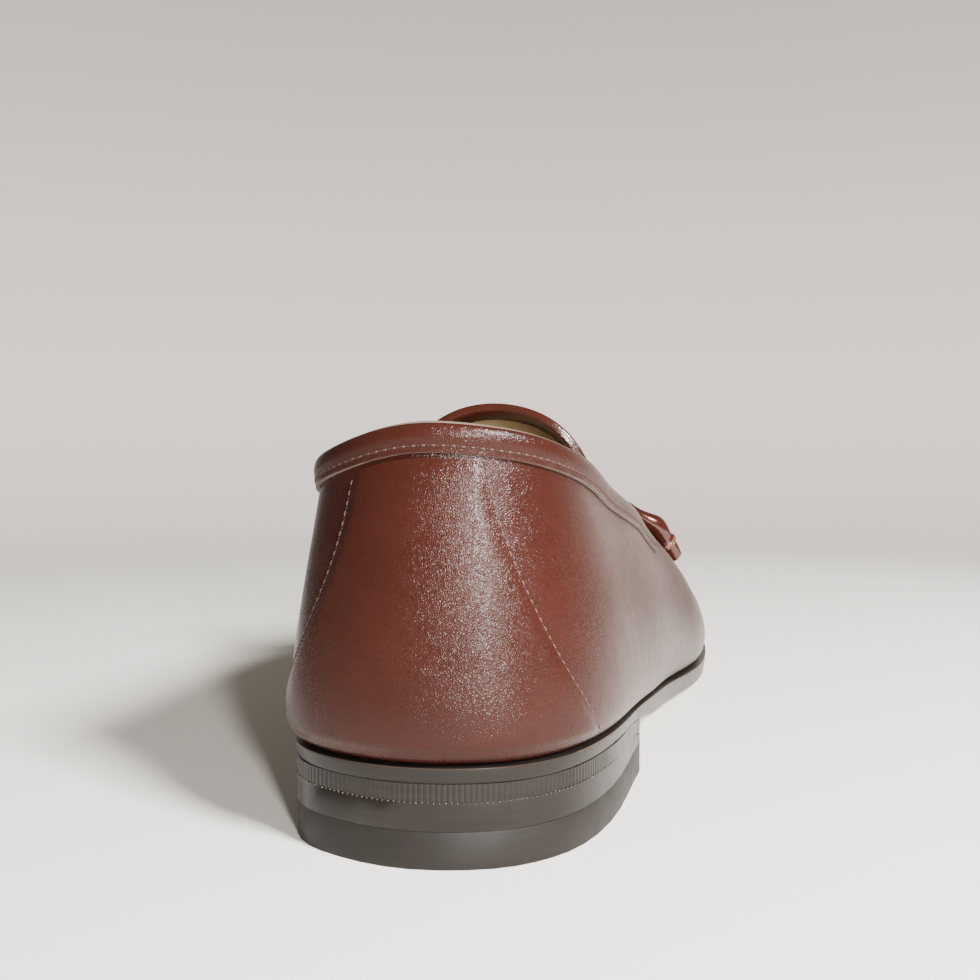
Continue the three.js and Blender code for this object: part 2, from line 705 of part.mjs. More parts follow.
// Tongue, rising back out of the throat from under the vamp. It is narrower at its root, its corners are
// cut back by the shares below, and its edge is bound.
const tongueTurns = [-tongueInnerTurn, tongueOuterTurn].map(THREE.MathUtils.degToRad);
const tongueRootShare = 0.75;
const tongueSpread = 0.6;
const tongueInnerCut = 0.06;
const tongueOuterCut = 0.2;
const throatPoint = ridgePoint(throatRow);
const lapPoint = (() => {
  let r = throatRow;
  while (ridgePoint(r).y < throatPoint.y + tongueLap) r += 0.01;
  return ridgePoint(r);
})();
const tongueSlope = THREE.MathUtils.degToRad(tongueRise);
function tongueCentre(length) {
  const under = wall + gap;
  const start = lapPoint.clone().add(V(0, 0, -under - tongueDip));
  const lapSlope = Math.atan2(throatPoint.z - lapPoint.z, lapPoint.y - throatPoint.y);
  const blend = length / tongueLength;
  const slope = mix(lapSlope, tongueSlope, ease(0, 0.5, blend));
  return start.add(V(0, -length * Math.cos(slope), length * Math.sin(slope)));
}
function tonguePoint(a, length, offset) {
  const t = length / tongueLength;
  const spread = mix(tongueRootShare, 1, ease(0, tongueSpread, t));
  const turn = mix(tongueTurns[0], tongueTurns[1], (a + 1) / 2) * spread;
  const corner = 1 - (a < 0 ? tongueInnerCut : tongueOuterCut) * Math.abs(a) ** 4;
  const centre = tongueCentre(length * corner);
  const up = V(0, Math.sin(tongueSlope), Math.cos(tongueSlope));
  const r = tongueRadius + offset;
  return centre.addScaledVector(up, -tongueRadius + r * Math.cos(turn)).add(V(r * Math.sin(turn), 0, 0));
}
function tongue() {
  const across = range(12).map((t) => 2 * t - 1);
  const lengths = range(7).map((t) => t * tongueLength);
  const layer = (offset) => across.map((a) => lengths.map((length) => tonguePoint(a, length, offset)));
  return slab(layer(0), layer(-tongueThickness));
}
add('tongue', tongue(), 'calf');

const bindingTurns = [60, 20, -20, -60].map(THREE.MathUtils.degToRad);
function tongueBinding() {
  const half = tongueThickness / 2;
  const layer = (thick) => range(16).map((t) => {
    const a = mix(-1, 1, t);
    const out = half + gap + thick;
    const back = tongueLength - bindingWidth;
    return [
      tonguePoint(a, back, -half + out),
      ...bindingTurns.map((turn) => {
        return tonguePoint(a, tongueLength + gap + thick * Math.cos(turn), -half + out * Math.sin(turn));
      }),
      tonguePoint(a, back, -half - out),
    ];
  });
  return slab(layer(bindingThickness), layer(0));
}
add('tongue_binding', tongueBinding(), 'calf');

shoe.position.y = -heelLength / 2;
export default shoe;
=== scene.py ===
# %% [markdown]
# # A bit loafer for the right foot
# The solids of the shoe come in as a fixed frame: they have the right sizes and places, but flat facets and
# no finish. This lesson dresses them. Each leather piece is a copy of its solid, made smooth, with its cut
# edges, creases, stitches and lining, and each one gets a material with the grain and gloss of the real
# thing.

import math

import bmesh
import bpy
import numpy as np
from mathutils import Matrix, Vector
from mathutils.bvhtree import BVHTree
from mathutils.kdtree import KDTree


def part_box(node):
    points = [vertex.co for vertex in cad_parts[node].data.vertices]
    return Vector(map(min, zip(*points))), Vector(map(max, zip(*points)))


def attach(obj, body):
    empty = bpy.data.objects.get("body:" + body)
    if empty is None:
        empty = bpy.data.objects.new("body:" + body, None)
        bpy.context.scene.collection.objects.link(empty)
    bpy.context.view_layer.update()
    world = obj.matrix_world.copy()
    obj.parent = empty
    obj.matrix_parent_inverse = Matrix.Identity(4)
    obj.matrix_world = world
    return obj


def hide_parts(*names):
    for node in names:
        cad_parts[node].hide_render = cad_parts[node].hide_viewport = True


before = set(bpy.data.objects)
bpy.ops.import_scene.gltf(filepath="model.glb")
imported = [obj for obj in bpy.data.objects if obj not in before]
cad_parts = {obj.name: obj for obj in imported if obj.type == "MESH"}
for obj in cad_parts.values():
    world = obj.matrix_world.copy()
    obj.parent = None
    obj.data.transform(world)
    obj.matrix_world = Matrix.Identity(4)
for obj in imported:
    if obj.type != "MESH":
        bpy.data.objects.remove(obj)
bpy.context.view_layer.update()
MM = 0.001
BODY = "root"
WELD = 0.01 * MM
FRAME_POINT = 0.02 * MM
print("nodes:", ", ".join(sorted(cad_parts)))

# %% [markdown]
# ## Working on one piece at a time
# Blender's operators act on everything that is selected, so every step starts by selecting one piece alone.
# A piece starts as a copy of its solid. The copy's triangles are welded together and joined back into
# quads, because a subdivided surface only comes out smooth on a welded mesh of quads.

# %% Helpers for one piece
def alone(obj):
    bpy.ops.object.select_all(action="DESELECT")
    obj.select_set(True)
    bpy.context.view_layer.objects.active = obj


def link_new(name, mesh):
    obj = bpy.data.objects.new(name, mesh)
    bpy.context.scene.collection.objects.link(obj)
    alone(obj)
    return obj


def copy_of(node, name):
    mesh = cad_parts[node].data.copy()
    mesh.name = name
    mesh.materials.clear()
    obj = link_new(name, mesh)
    bpy.ops.mesh.customdata_custom_splitnormals_clear()
    bpy.ops.object.mode_set(mode="EDIT")
    bpy.ops.mesh.select_all(action="SELECT")
    bpy.ops.mesh.remove_doubles(threshold=WELD)
    bpy.ops.mesh.tris_convert_to_quads(face_threshold=math.pi, shape_threshold=math.pi)
    bpy.ops.mesh.select_all(action="DESELECT")
    bpy.ops.object.mode_set(mode="OBJECT")
    return obj


def apply(obj, kind, **settings):
    alone(obj)
    modifier = obj.modifiers.new(kind.title(), kind)
    for key, value in settings.items():
        setattr(modifier, key, value)
    bpy.ops.object.modifier_apply(modifier=modifier.name)


def crease(obj, degrees):
    bm = bmesh.new()
    bm.from_mesh(obj.data)
    layer = bm.edges.layers.float.get("crease_edge") or bm.edges.layers.float.new("crease_edge")
    for edge in bm.edges:
        if edge.is_manifold and edge.calc_face_angle(0) > math.radians(degrees):
            edge[layer] = 1
    bm.to_mesh(obj.data)
    bm.free()


def smooth(obj, degrees=40):
    alone(obj)
    bpy.ops.object.shade_smooth_by_angle(angle=math.radians(degrees))


def subdivide(obj, levels, keep=60):
    crease(obj, keep)
    apply(obj, "SUBSURF", levels=levels, render_levels=levels)


def points_of(obj):
    flat = np.empty(len(obj.data.vertices) * 3)
    obj.data.vertices.foreach_get("co", flat)
    return flat.reshape(-1, 3)


def move_points(obj, points):
    obj.data.vertices.foreach_set("co", points.ravel())
    obj.data.update()


def give(obj, *materials):
    for material in materials:
        obj.data.materials.append(material)


def fade(low, high, value):
    share = min(1.0, max(0.0, (value - low) / (high - low)))
    return share * share * (3 - 2 * share)


def paint(obj, slot, test):
    count = 0
    for face in obj.data.polygons:
        if test(face.center, face.normal):
            face.material_index = slot
            count += 1
    return count


def finish_piece(obj, slot, *nodes):
    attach(obj, BODY)
    if nodes:
        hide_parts(*nodes)
    print(obj.name, len(obj.data.polygons), "faces")


print("every piece rides on", BODY)


# %% [markdown]
# ## Following a cut edge
# Stitches and turned edges run beside the edge of a panel. The edge is found on the piece itself: from the
# corner nearest to a given place, step along the sharp edges, always taking the straightest way on, until
# the line turns a corner. The line is then spaced evenly, so that the stitches come out at one length.

# %% Follow an edge
def follow_edge(obj, start, towards, degrees=70, turn=50):
    bm = bmesh.new()
    bm.from_mesh(obj.data)
    sharp = [e for e in bm.edges if e.is_manifold and e.calc_face_angle(0) > math.radians(degrees)]
    around = {}
    for edge in sharp:
        for vert in edge.verts:
            around.setdefault(vert, []).append(edge.other_vert(vert))
    here = min(around, key=lambda v: (v.co - Vector(start)).length)
    heading = Vector(towards).normalized()
    line = [here.co.copy()]
    seen = {here}
    while True:
        options = [v for v in around[here] if v not in seen]
        if not options:
            break
        ahead = max(options, key=lambda v: (v.co - here.co).normalized().dot(heading))
        step = (ahead.co - here.co).normalized()
        if len(line) > 1 and step.dot(heading) < math.cos(math.radians(turn)):
            break
        heading = step
        seen.add(ahead)
        line.append(ahead.co.copy())
        here = ahead
    bm.free()
    return line


def smooth_line(points, rounds=2):
    for _ in range(rounds):
        halves = [points[0]]
        for a, b in zip(points, points[1:]):
            halves += [a.lerp(b, 0.25), a.lerp(b, 0.75)]
        points = halves + [points[-1]]
    return points


def evenly(points, pitch, trim=0.0):
    lengths = [0.0]
    for a, b in zip(points, points[1:]):
        lengths.append(lengths[-1] + (b - a).length)
    total = lengths[-1] - 2 * trim
    count = max(2, round(total / pitch))
    result = []
    for i in range(count + 1):
        want = trim + total * i / count
        k = min(max(1, int(np.searchsorted(lengths, want))), len(points) - 1)
        share = (want - lengths[k - 1]) / max(lengths[k] - lengths[k - 1], 1e-9)
        result.append(points[k - 1].lerp(points[k], share))
    return result


def tree_of(obj):
    places = [vert.co for vert in obj.data.vertices]
    return BVHTree.FromPolygons(places, [face.vertices for face in obj.data.polygons])


def beside(line, skin, inset, side):
    """Frames on a skin, a given distance beside a line: place, direction and normal."""
    frames = []
    for i, point in enumerate(line):
        along = (line[min(i + 1, len(line) - 1)] - line[max(i - 1, 0)]).normalized()
        place, normal = skin.find_nearest(point)[:2]
        away = normal.cross(along).normalized() * side
        place, normal = skin.find_nearest(place + away * inset)[:2]
        frames.append((place, along, normal))
    return frames


print("an edge is followed as long as it turns less than its limit at each step")


# %% [markdown]
# ## Skived edges
# Where a panel is sewn onto another, its edge is pared thin first, so that it lies down and hardly steps.
# The solids stand off the upper by a small even gap. Near an edge, each point of the panel is let down
# towards the skin under it: "lift" is what stays under the panel at its edge, and "thin" the share of its
# thickness left. An edge that runs in waves can be evened out first, across its own direction only.

# %% Let an edge down
def straighten(obj, skin, line, reach, rounds, start, full):
    """Even out a wavy edge across its own direction, from y = start on, fully from y = full."""
    calm = np.array(line)
    for _ in range(rounds):
        calm[1:-1] = calm[1:-1] / 2 + (calm[:-2] + calm[2:]) / 4
    near = KDTree(len(line))
    shifts = []
    for i, mark in enumerate(line):
        near.insert(mark, i)
        normal = skin.find_nearest(mark)[1]
        along = line[min(i + 1, len(line) - 1)] - line[max(i - 1, 0)]
        across = normal.cross(along).normalized()
        amount = (Vector(calm[i]) - mark).dot(across) * fade(start, full, mark.y)
        shifts.append(across * amount)
    near.balance()
    for vert in obj.data.vertices:
        i, away = near.find(vert.co)[1:]
        vert.co += shifts[i] * fade(reach, 0, away)
    obj.data.update()
    print("evened by up to", round(max(s.length for s in shifts) / MM, 2), "mm")
    return [mark + shift for mark, shift in zip(line, shifts)]


MARK_PITCH = 0.4 * MM


def settle(obj, skin, line, reach, lift, thin, gap):
    marks = evenly(line, MARK_PITCH)
    near = KDTree(len(marks))
    for i, mark in enumerate(marks):
        near.insert(skin.find_nearest(mark)[0], i)
    near.balance()
    for vert in obj.data.vertices:
        foot = skin.find_nearest(vert.co)[0]
        away = near.find(foot)[2]
        stand = vert.co - foot
        height = stand.length
        if away >= reach or height < FRAME_POINT:
            continue
        low = lift + max(0.0, height - gap) * thin
        vert.co = foot + stand / height * (low + (height - low) * fade(0, reach, away))
    obj.data.update()


# %% [markdown]
# ## Stitches
# A lockstitch is a short thread that dips into the leather at both ends, where the needle left a small dark
# hole. One stitch is modelled from a sphere with few faces, pulled long, and a row is that stitch copied to
# each place on the line, as one mesh. The holes are made in the same way, between the stitches. They are
# sunken near-black blobs, and their colour is painted shade for the inside of each hole.

# %% Sew a row
def stitch_shape(length, thick, sink):
    bpy.ops.object.select_all(action="DESELECT")
    bpy.ops.mesh.primitive_uv_sphere_add(segments=8, ring_count=6, radius=1, rotation=(0, math.pi / 2, 0))
    pattern = bpy.context.object
    bpy.ops.object.transform_apply(location=True, rotation=True, scale=True)
    points = points_of(pattern)
    points[:, 0] *= length / 2
    points[:, 1] *= thick / 2
    points[:, 2] = points[:, 2] * thick / 2 - sink * np.abs(points[:, 0] / (length / 2)) ** 2
    faces = [tuple(p.vertices) for p in pattern.data.polygons]
    bpy.data.objects.remove(pattern)
    return points, faces


SINK = 0.15 * MM
HOLE_LENGTH, HOLE_WIDTH, HOLE_DEPTH = 0.42 * MM, 0.4 * MM, 0.1 * MM


def sew(name, frames, material, length, thick, sink=SINK, raised=0.0):
    shape, faces = stitch_shape(length, thick, sink)
    all_points, all_faces = [], []
    for place, along, normal in frames:
        side = normal.cross(along).normalized()
        ahead = side.cross(normal).normalized()
        axes = np.array([ahead, side, normal])
        base = len(all_points) * len(shape)
        all_points.append(shape @ axes + np.array(place + normal * raised))
        all_faces += [tuple(i + base for i in face) for face in faces]
    mesh = bpy.data.meshes.new(name)
    mesh.from_pydata(np.vstack(all_points).tolist(), [], all_faces)
    obj = link_new(name, mesh)
    give(obj, material)
    bpy.ops.object.shade_smooth()
    print(name, len(frames), "places")
    return obj


def stitch_row(name, line, skin, inset, side, pitch, thread, length=1.2 * MM, thick=0.42 * MM):
    frames = beside(evenly(smooth_line(line), pitch / 2, trim=pitch), skin, inset, side)
    finish_piece(sew(name, frames[0::2], thread, length, thick), "calf")
    # The dark blobs between the stitches are painted shade: they stand in for the shadow inside each needle
    # hole.
    painted_hole_shade = sew(f"{name}_holes", frames[1::2], HOLE_SHADE, HOLE_LENGTH, HOLE_WIDTH, sink=0.0, raised=-HOLE_DEPTH)
    finish_piece(painted_hole_shade, "calf")


# %% [markdown]
# ## Shared effects
# Leather grain is a net of fine pebbles with pores between them. It is built once as a node group that puts
# out a height and a mask, and each leather sets its own scale. A second group gives slow cloudy patches,
# which hand polish and handling leave on a finished shoe.

# %% Node helpers
def add_node(tree, kind, **values):
    made = tree.nodes.new(kind)
    for key, value in values.items():
        if key in made.inputs:
            made.inputs[key].default_value = value
        else:
            setattr(made, key, value)
    return made


def new_group(name, inputs, outputs):
    tree = bpy.data.node_groups.new(name, "ShaderNodeTree")
    for title, value in inputs.items():
        kind = "NodeSocketVector" if title == "Vector" else "NodeSocketFloat"
        socket = tree.interface.new_socket(title, in_out="INPUT", socket_type=kind)
        if value is not None:
            socket.default_value = value
    for title in outputs:
        tree.interface.new_socket(title, in_out="OUTPUT", socket_type="NodeSocketFloat")
    return tree, tree.nodes.new("NodeGroupInput"), tree.nodes.new("NodeGroupOutput")


def math_node(tree, operation, a, b, clamp=False):
    made = tree.nodes.new("ShaderNodeMath")
    made.operation = operation
    made.use_clamp = clamp
    for socket, value in zip(made.inputs, (a, b)):
        if isinstance(value, (int, float)):
            socket.default_value = value
        else:
            tree.links.new(value, socket)
    return made.outputs[0]


def map_range(tree, value, low, high, to_low=0.0, to_high=1.0):
    made = tree.nodes.new("ShaderNodeMapRange")
    made.inputs["From Min"].default_value = low
    made.inputs["From Max"].default_value = high
    made.inputs["To Min"].default_value = to_low
    made.inputs["To Max"].default_value = to_high
    tree.links.new(value, made.inputs["Value"])
    return made.outputs["Result"]


print("node helpers ready")


# %% [markdown]
# Grain: the pebbles are the cells of a Voronoi net, bent a little so that no border is straight, and lower
# in some patches than in others. The pores are the borders themselves.

# %% Grain and clouds
BEND, BEND_SCALE, PATCH_SCALE = 0.5 * MM, 1300.0, 330.0
LEAST_HEIGHT, MORE_HEIGHT = 0.65, 0.35


def build_grain():
    inputs = {"Vector": None, "Scale": 2300.0, "Pores": 0.4}
    tree, given, out = new_group("leather_grain", inputs, ["Height", "Mask"])
    warp = add_node(tree, "ShaderNodeTexNoise", Scale=BEND_SCALE, Detail=2.0)
    tree.links.new(given.outputs["Vector"], warp.inputs["Vector"])
    shift = add_node(tree, "ShaderNodeVectorMath", operation="SCALE")
    shift.inputs["Scale"].default_value = BEND
    tree.links.new(warp.outputs["Color"], shift.inputs[0])
    moved = add_node(tree, "ShaderNodeVectorMath", operation="ADD")
    tree.links.new(given.outputs["Vector"], moved.inputs[0])
    tree.links.new(shift.outputs[0], moved.inputs[1])
    cells = add_node(tree, "ShaderNodeTexVoronoi", feature="DISTANCE_TO_EDGE")
    tree.links.new(moved.outputs[0], cells.inputs["Vector"])
    tree.links.new(given.outputs["Scale"], cells.inputs["Scale"])
    pebble = map_range(tree, cells.outputs["Distance"], 0.0, 0.38)
    pebble.node.interpolation_type = "SMOOTHSTEP"
    coarse = add_node(tree, "ShaderNodeTexNoise", Scale=PATCH_SCALE, Detail=4.0, Roughness=0.6)
    tree.links.new(given.outputs["Vector"], coarse.inputs["Vector"])
    patch = map_range(tree, coarse.outputs["Fac"], 0.35, 0.65)
    strength = math_node(tree, "MULTIPLY_ADD", patch, MORE_HEIGHT)
    strength.node.inputs[2].default_value = LEAST_HEIGHT
    height = math_node(tree, "MULTIPLY", pebble, strength)
    valley = map_range(tree, cells.outputs["Distance"], 0.0, 0.1, 1.0, 0.0)
    pores = math_node(tree, "MULTIPLY", valley, given.outputs["Pores"])
    tree.links.new(height, out.inputs["Height"])
    tree.links.new(pores, out.inputs["Mask"])
    return tree


def build_clouds():
    tree, given, out = new_group("polish_clouds", {"Vector": None, "Scale": 30.0}, ["Mask", "Fine"])
    slow = add_node(tree, "ShaderNodeTexNoise", Detail=3.0, Roughness=0.55)
    fine = add_node(tree, "ShaderNodeTexNoise", Scale=260.0, Detail=5.0, Roughness=0.65)
    for made in (slow, fine):
        tree.links.new(given.outputs["Vector"], made.inputs["Vector"])
    tree.links.new(given.outputs["Scale"], slow.inputs["Scale"])
    tree.links.new(map_range(tree, slow.outputs["Fac"], 0.35, 0.68), out.inputs["Mask"])
    tree.links.new(map_range(tree, fine.outputs["Fac"], 0.3, 0.7), out.inputs["Fine"])
    return tree


GRAIN = build_grain()
CLOUDS = build_clouds()
print("node groups:", GRAIN.name, CLOUDS.name)


def use_group(tree, group, **values):
    made = tree.nodes.new("ShaderNodeGroup")
    made.node_tree = group
    for key, value in values.items():
        if isinstance(value, (int, float)):
            made.inputs[key].default_value = value
        else:
            tree.links.new(value, made.inputs[key])
    return made


# %% [markdown]
# ## Leather
# Polished calf has a soft shine that the grain breaks up into sparkles. Only the bound edge of the tongue
# and the burnished cut of the band have some clear wax on top. The colour drifts between a lighter and a
# darker tone with the clouds, and darkens in the pores.

# %% Leather material
def mix_colour(tree, fac, a, b):
    made = tree.nodes.new("ShaderNodeMix")
    made.data_type = "RGBA"
    for socket, value in ((made.inputs["Factor"], fac), (made.inputs[6], a), (made.inputs[7], b)):
        if isinstance(value, (int, float)):
            socket.default_value = value
        elif isinstance(value, tuple):
            socket.default_value = (*value, 1.0)
        else:
            tree.links.new(value, socket)
    return made.outputs[2]


TALL_GRAIN, COAT_ROUGHNESS = 0.7, 0.2


def new_material(name):
    material = bpy.data.materials.new(name)
    material.use_nodes = True
    tree = material.node_tree
    shader = tree.nodes["Principled BSDF"]
    place = tree.nodes.new("ShaderNodeTexCoord").outputs["Object"]
    return material, tree, shader, place


def stretched(tree, place, x, y, z):
    made = add_node(tree, "ShaderNodeMapping")
    made.inputs["Scale"].default_value = (x, y, z)
    tree.links.new(place, made.inputs["Vector"])
    return made.outputs["Vector"]


def bump(tree, shader, height, strength, distance):
    made = add_node(tree, "ShaderNodeBump", Strength=strength, Distance=distance)
    tree.links.new(height, made.inputs["Height"])
    tree.links.new(made.outputs["Normal"], shader.inputs["Normal"])
    return made


def leather(name, light, dark, pore, rough=(0.2, 0.27), grain=2900.0, depth=0.032 * MM, gloss=0.17,
            coat=0.0):
    material, tree, shader, place = new_material(name)
    grainy = use_group(tree, GRAIN, Vector=stretched(tree, place, 1.0, 1.0, TALL_GRAIN), Scale=grain)
    cloudy = use_group(tree, CLOUDS, Vector=place)
    base = mix_colour(tree, cloudy.outputs["Mask"], light, dark)
    base = mix_colour(tree, grainy.outputs["Mask"], base, pore)
    tree.links.new(base, shader.inputs["Base Color"])
    tree.links.new(map_range(tree, cloudy.outputs["Fine"], 0.0, 1.0, *rough), shader.inputs["Roughness"])
    shader.inputs["Coat Weight"].default_value = coat
    shader.inputs["Coat Roughness"].default_value = COAT_ROUGHNESS
    shader.inputs["Specular IOR Level"].default_value = gloss
    bump(tree, shader, grainy.outputs["Height"], 1.0, depth)
    return material


CALF = leather("calf", (0.031, 0.0080, 0.0055), (0.022, 0.0056, 0.0040), (0.0085, 0.0026, 0.0019))
BINDING = leather("binding_calf", (0.034, 0.0078, 0.0046), (0.026, 0.0058, 0.0037), (0.010, 0.0026, 0.0018),
                  rough=(0.18, 0.26), grain=2600.0, depth=0.025 * MM, gloss=0.45, coat=0.2)
LINING = leather("lining", (0.34, 0.245, 0.14), (0.28, 0.2, 0.115), (0.15, 0.11, 0.064),
                 rough=(0.62, 0.8), grain=1900.0, depth=0.03 * MM, gloss=0.25, coat=0.0)
CUT_EDGE = leather("cut_edge", (0.17, 0.125, 0.10), (0.115, 0.082, 0.066), (0.06, 0.04, 0.032),
                   rough=(0.34, 0.48), grain=2600.0, depth=0.03 * MM, gloss=0.5, coat=0.1)
SOLE_LEATHER = leather("sole_leather", (0.20, 0.14, 0.085), (0.16, 0.11, 0.066), (0.09, 0.06, 0.036),
                       rough=(0.45, 0.6), grain=1200.0, depth=0.02 * MM, gloss=0.3, coat=0.0)
RAW_LINE = leather("raw_corner", (0.42, 0.33, 0.22), (0.34, 0.26, 0.17), (0.2, 0.15, 0.1),
                   rough=(0.5, 0.65), grain=2600.0, depth=0.02 * MM, gloss=0.3, coat=0.0)
BROWN_LINE = leather("brown_corner", (0.085, 0.045, 0.024), (0.06, 0.031, 0.017), (0.03, 0.015, 0.008),
                     rough=(0.35, 0.5), grain=2600.0, depth=0.02 * MM, gloss=0.4, coat=0.0)
print("leathers:", CALF.name, BINDING.name, LINING.name, CUT_EDGE.name, SOLE_LEATHER.name)

# %% [markdown]
# ## Edge wax, rubber, thread and lacquered metal
# The edges of sole and heel are sanded leather, stained and ironed with wax. They keep faint level lines
# from the layers and the sanding wheel. The top piece is duller rubber, stained like them. Thread is a
# little fuzzy. The bit is brass under a tinted lacquer, so it is bright where it mirrors a light and brown
# elsewhere.

# %% The other materials
LAYER_SHARE, LEVEL, SCUFFS = 0.6, 0.05, 0.35
THREAD_TWIST, THREAD_SHADE = 5200.0, 0.55


def edge_wax(name, light, dark, rough, lines=900.0, depth=0.012 * MM, gloss=0.3):
    material, tree, shader, place = new_material(name)
    layers = add_node(tree, "ShaderNodeTexNoise", Scale=lines, Detail=4.0, Roughness=0.6)
    tree.links.new(stretched(tree, place, LEVEL, LEVEL, 1.0), layers.inputs["Vector"])
    cloudy = use_group(tree, CLOUDS, Vector=place, Scale=55.0)
    mixed = math_node(tree, "MULTIPLY", map_range(tree, layers.outputs["Fac"], 0.35, 0.65), LAYER_SHARE)
    clouds = math_node(tree, "MULTIPLY", cloudy.outputs["Mask"], 1 - LAYER_SHARE)
    mixed = math_node(tree, "ADD", mixed, clouds)
    tree.links.new(mix_colour(tree, mixed, light, dark), shader.inputs["Base Color"])
    tree.links.new(map_range(tree, cloudy.outputs["Fine"], 0.0, 1.0, *rough), shader.inputs["Roughness"])
    shader.inputs["Specular IOR Level"].default_value = gloss
    scuffs = math_node(tree, "MULTIPLY", cloudy.outputs["Fine"], SCUFFS)
    bump(tree, shader, math_node(tree, "ADD", layers.outputs["Fac"], scuffs), 0.5, depth)
    return material


def thread(name, colour):
    material, tree, shader, place = new_material(name)
    twist = add_node(tree, "ShaderNodeTexNoise", Scale=THREAD_TWIST, Detail=2.0)
    tree.links.new(place, twist.inputs["Vector"])
    darker = tuple(THREAD_SHADE * c for c in colour)
    tree.links.new(mix_colour(tree, twist.outputs["Fac"], darker, colour), shader.inputs["Base Color"])
    shader.inputs["Roughness"].default_value = 0.55
    bump(tree, shader, twist.outputs["Fac"], 0.6, 0.04 * MM)
    return material


def lacquer(name, light, dark, rough):
    material, tree, shader, place = new_material(name)
    cloudy = use_group(tree, CLOUDS, Vector=place, Scale=120.0)
    tree.links.new(mix_colour(tree, cloudy.outputs["Mask"], light, dark), shader.inputs["Base Color"])
    tree.links.new(map_range(tree, cloudy.outputs["Fine"], 0.0, 1.0, *rough), shader.inputs["Roughness"])
    shader.inputs["Metallic"].default_value = 0.55
    shader.inputs["Coat Weight"].default_value = 0.8
    shader.inputs["Coat Roughness"].default_value = 0.06
    bump(tree, shader, cloudy.outputs["Fine"], 0.15, 0.02 * MM)
    return material


WAX = edge_wax("edge_wax", (0.0105, 0.0083, 0.0074), (0.0065, 0.0051, 0.0045), (0.27, 0.36),
               gloss=0.23)
BEAD_WAX = edge_wax("wheel_mark_wax", (0.03, 0.022, 0.018), (0.02, 0.015, 0.012), (0.12, 0.18),
                    gloss=0.6)
RUBBER = edge_wax("top_piece_rubber", (0.0105, 0.0084, 0.0075), (0.0070, 0.0056, 0.0050), (0.5, 0.6),
                  gloss=0.2)
THREAD = thread("thread", (0.055, 0.019, 0.013))
DARK_THREAD = thread("dark_thread", (0.075, 0.028, 0.02))
# The needle holes are not cut: this near-black colour is painted shade for the inside of each hole.
HOLE_SHADE = thread("needle_hole_shade", (0.006, 0.003, 0.002))
LACQUER = lacquer("bit_lacquer", (0.062, 0.014, 0.008), (0.045, 0.010, 0.006), (0.12, 0.2))
COPPER = lacquer("bead_copper", (0.2, 0.078, 0.052), (0.15, 0.058, 0.038), (0.16, 0.24))
print("materials:", len(bpy.data.materials))

# %% [markdown]
# ## Creases
# A worn or lasted upper has soft troughs and ridges. Each one is a line, given in millimetres, with a
# width and a depth: the skin near the line is pushed in or out, fading with distance. Its lining moves with
# it, so that the wall keeps its thickness. Inside and outside are told apart by a line through the middle
# of the foot.

# %% Press a crease
MIDDLE_BACK, MIDDLE_FRONT, MIDDLE_HEIGHT, MIDDLE_FALL = -10 * MM, 195 * MM, 42 * MM, 0.135
END_SHARE, END_SOFTNESS = 0.02, 0.6


def looks_inwards(centre, normal):
    y = min(max(centre.y, MIDDLE_BACK), MIDDLE_FRONT)
    height = MIDDLE_HEIGHT - MIDDLE_FALL * max(y, 0)
    return normal.dot(centre - Vector((0, y, height))) < 0


def press(obj, lines):
    points = points_of(obj)
    flat = np.empty(len(points) * 3)
    obj.data.vertices.foreach_get("normal", flat)
    normals = flat.reshape(-1, 3)
    for i, (point, normal) in enumerate(zip(points, normals)):
        if looks_inwards(Vector(point), Vector(normal)):
            normals[i] = -normal
    shift = np.zeros(len(points))
    for route, width, depth in lines:
        knots = np.array(smooth_line([Vector(place) * MM for place in route]))
        best = np.full(len(points), np.inf)
        along = np.zeros(len(points))
        for i, (a, b) in enumerate(zip(knots, knots[1:])):
            ab = b - a
            share = np.clip(((points - a) @ ab) / max(ab @ ab, 1e-12), 0, 1)
            gap = np.linalg.norm(points - a - share[:, None] * ab, axis=1)
            nearer = gap < best
            best = np.where(nearer, gap, best)
            along = np.where(nearer, (i + share) / (len(knots) - 1), along)
        ends = np.sin(np.pi * np.clip(along, END_SHARE, 1 - END_SHARE)) ** END_SOFTNESS
        shift += depth * MM * ends * np.exp(-((best / (width * MM)) ** 2))
    move_points(obj, points + normals * shift[:, None])
    print(len(lines), "creases, up to", round(float(np.abs(shift).max()) / MM, 2), "mm")


# %% [markdown]
# ## Upper
# The vamp and quarters are one hollow skin. Its outside is calf and its inside lining. In front of the bit
# the quarter ends in a soft trough, and the vamp swells out past it.

# %% Upper
upper = copy_of("upper", "upper_skin")
subdivide(upper, 2)
give(upper, CALF, LINING)
print("lining faces:", paint(upper, 1, looks_inwards))
CREASES = (
    (((39.5, 149, 37), (42.5, 152, 30), (46.0, 156, 20)), 4.6, -1.7),
    (((43.5, 166, 33), (46.5, 170, 25), (48.5, 172, 15)), 8.0, 0.9),
)
press(upper, CREASES)
smooth(upper)
finish_piece(upper, "calf", "upper")
skin = tree_of(upper)

# %% [markdown]
# ## Heel counter
# The counter is a second layer over the back. Its edge is pared, turned in and sewn down close to the fold,
# so it shows no raw edge: only a low step with a row of small stitches beside it.

